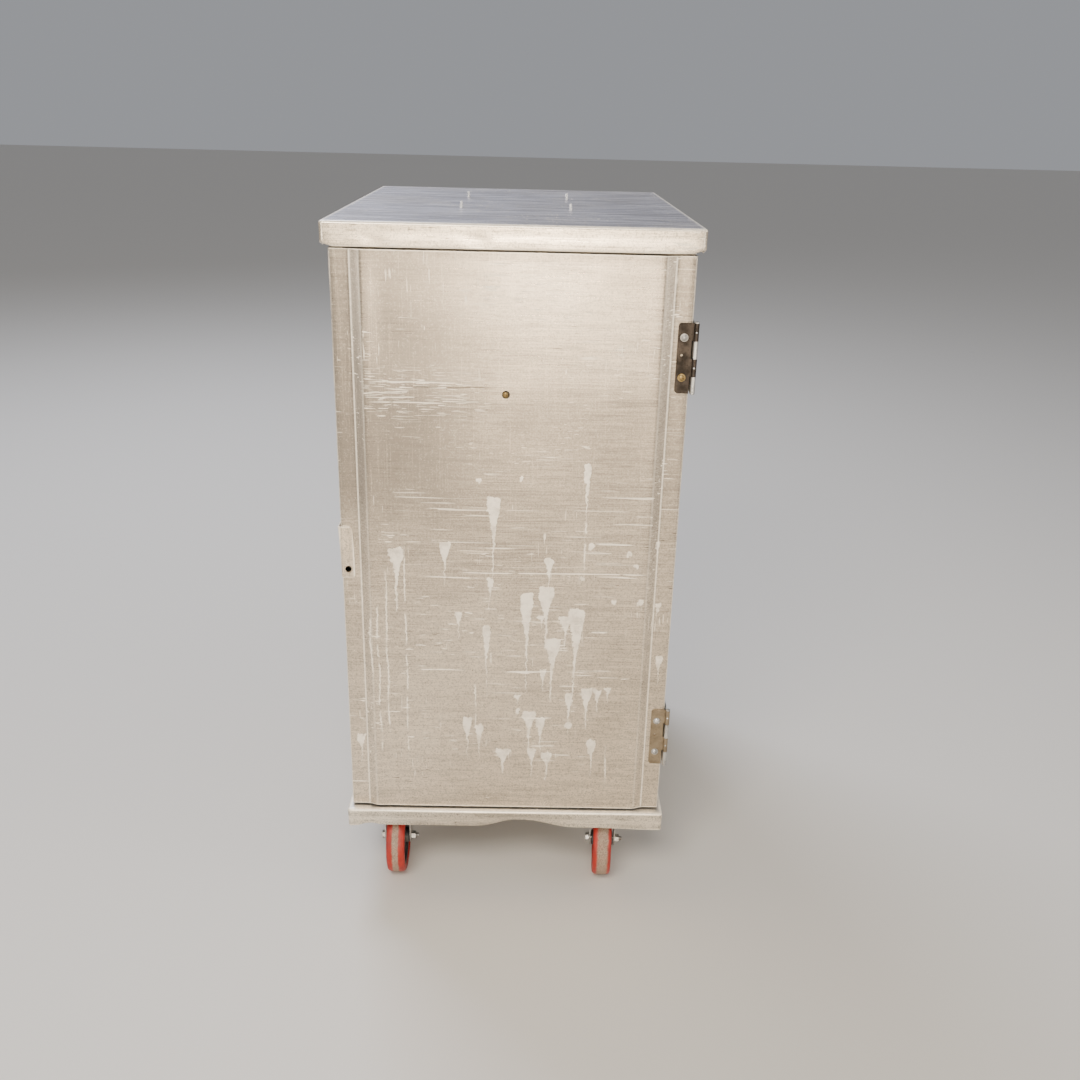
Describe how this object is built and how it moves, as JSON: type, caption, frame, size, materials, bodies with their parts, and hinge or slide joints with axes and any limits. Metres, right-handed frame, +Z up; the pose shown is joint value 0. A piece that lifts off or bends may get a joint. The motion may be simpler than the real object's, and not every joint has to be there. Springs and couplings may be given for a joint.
{
  "type": "enclosed sheet pan transport cabinet",
  "caption": "Tall enclosed aluminium sheet-pan cabinet with a roof cap, a hinged front door, inner pan ledges and swivel casters under a folded base.",
  "frame": {"origin": "on the floor under the middle of the cabinet's bounding box", "axes": "+X to the right of someone facing the door, towards the hinges; -Y out of the front, where the door is; +Z up"},
  "size_m": [0.5426, 0.718, 1.1341],
  "materials": {
    "aged_aluminium_sheet": "brushed, worn and stained with dried runs",
    "rack_aluminium": "mill finish",
    "zinc_plated_steel": "dull zinc plate",
    "tarnished_steel": "dark, tarnished",
    "nickel_plated_steel": "dulled nickel plate",
    "brass": "dulled brass",
    "red_polyurethane": "satin, with a worn and dirty tread",
    "hub_plastic": "dark moulded plastic",
    "magnet_housing": "dull moulded plastic"
  },
  "bodies": {
    "cabinet": {"base_deck": "aged_aluminium_sheet", "front_caster_rail": "zinc_plated_steel", "rear_caster_rail": "zinc_plated_steel", "left_side_panel": "aged_aluminium_sheet", "right_side_panel": "aged_aluminium_sheet", "back_panel": "aged_aluminium_sheet", "front_header": "aged_aluminium_sheet", "top_cap": "aged_aluminium_sheet", "roof_screw_1": "zinc_plated_steel", "roof_screw_2": "zinc_plated_steel", "roof_screw_3": "zinc_plated_steel", "roof_screw_4": "zinc_plated_steel", "left_pan_rack": "rack_aluminium", "right_pan_rack": "rack_aluminium", "door_magnet": "magnet_housing", "upper_hinge_body_leaf": "zinc_plated_steel", "upper_hinge_pin": "zinc_plated_steel", "lower_hinge_body_leaf": "zinc_plated_steel", "lower_hinge_pin": "zinc_plated_steel", "front_left_caster_plate": "zinc_plated_steel", "front_left_caster_kingpin": "zinc_plated_steel", "front_right_caster_plate": "zinc_plated_steel", "front_right_caster_kingpin": "zinc_plated_steel", "rear_left_caster_plate": "zinc_plated_steel", "rear_left_caster_kingpin": "zinc_plated_steel", "rear_right_caster_plate": "zinc_plated_steel", "rear_right_caster_kingpin": "zinc_plated_steel"},
    "door": {"door_skin": "aged_aluminium_sheet", "door_liner": "aged_aluminium_sheet", "door_stiffener": "rack_aluminium", "door_strike_plate": "zinc_plated_steel", "door_centre_screw": "brass", "door_catch": "aged_aluminium_sheet", "upper_hinge_door_leaf": "tarnished_steel", "upper_hinge_screw_1": "brass", "upper_hinge_screw_2": "zinc_plated_steel", "lower_hinge_door_leaf": "nickel_plated_steel", "lower_hinge_screw_1": "zinc_plated_steel", "lower_hinge_screw_2": "zinc_plated_steel"},
    "front_left_fork": {"front_left_caster_fork": "zinc_plated_steel", "front_left_axle_bolt": "zinc_plated_steel", "front_left_axle_nut": "zinc_plated_steel"},
    "front_left_wheel": {"front_left_wheel_hub": "hub_plastic", "front_left_wheel_tread": "red_polyurethane"},
    "front_right_fork": {"front_right_caster_fork": "zinc_plated_steel", "front_right_axle_bolt": "zinc_plated_steel", "front_right_axle_nut": "zinc_plated_steel"},
    "front_right_wheel": {"front_right_wheel_hub": "hub_plastic", "front_right_wheel_tread": "red_polyurethane"},
    "rear_left_fork": {"rear_left_caster_fork": "zinc_plated_steel", "rear_left_axle_bolt": "zinc_plated_steel", "rear_left_axle_nut": "zinc_plated_steel"},
    "rear_left_wheel": {"rear_left_wheel_hub": "hub_plastic", "rear_left_wheel_tread": "red_polyurethane"},
    "rear_right_fork": {"rear_right_caster_fork": "zinc_plated_steel", "rear_right_axle_bolt": "zinc_plated_steel", "rear_right_axle_nut": "zinc_plated_steel"},
    "rear_right_wheel": {"rear_right_wheel_hub": "hub_plastic", "rear_right_wheel_tread": "red_polyurethane"}
  },
  "joints": [
    {"name": "door_hinge", "type": "hinge", "parent": "cabinet", "child": "door", "pos_m": [0.2653, -0.3472, 0.62], "axis": [0, 0, 1], "range_deg": [0, 260]},
    {"name": "front_left_swivel", "type": "hinge", "parent": "cabinet", "child": "front_left_fork", "pos_m": [-0.19, -0.258, 0.14], "axis": [0, 0, 1], "continuous": true},
    {"name": "front_left_roll", "type": "hinge", "parent": "front_left_fork", "child": "front_left_wheel", "pos_m": [-0.19, -0.293, 0.0635], "axis": [1, 0, 0], "continuous": true},
    {"name": "front_right_swivel", "type": "hinge", "parent": "cabinet", "child": "front_right_fork", "pos_m": [0.174, -0.258, 0.14], "axis": [0, 0, 1], "continuous": true},
    {"name": "front_right_roll", "type": "hinge", "parent": "front_right_fork", "child": "front_right_wheel", "pos_m": [0.17198, -0.29294, 0.0635], "axis": [0.9983, -0.0576, 0], "continuous": true},
    {"name": "rear_left_swivel", "type": "hinge", "parent": "cabinet", "child": "rear_left_fork", "pos_m": [-0.182, 0.258, 0.14], "axis": [0, 0, 1], "continuous": true},
    {"name": "rear_left_roll", "type": "hinge", "parent": "rear_left_fork", "child": "rear_left_wheel", "pos_m": [-0.17895, 0.22313, 0.0635], "axis": [0.9962, 0.0872, 0], "continuous": true},
    {"name": "rear_right_swivel", "type": "hinge", "parent": "cabinet", "child": "rear_right_fork", "pos_m": [0.182, 0.258, 0.14], "axis": [0, 0, 1], "continuous": true},
    {"name": "rear_right_roll", "type": "hinge", "parent": "rear_right_fork", "child": "rear_right_wheel", "pos_m": [0.17713, 0.22334, 0.0635], "axis": [0.9903, -0.1392, 0], "continuous": true}
  ]
}
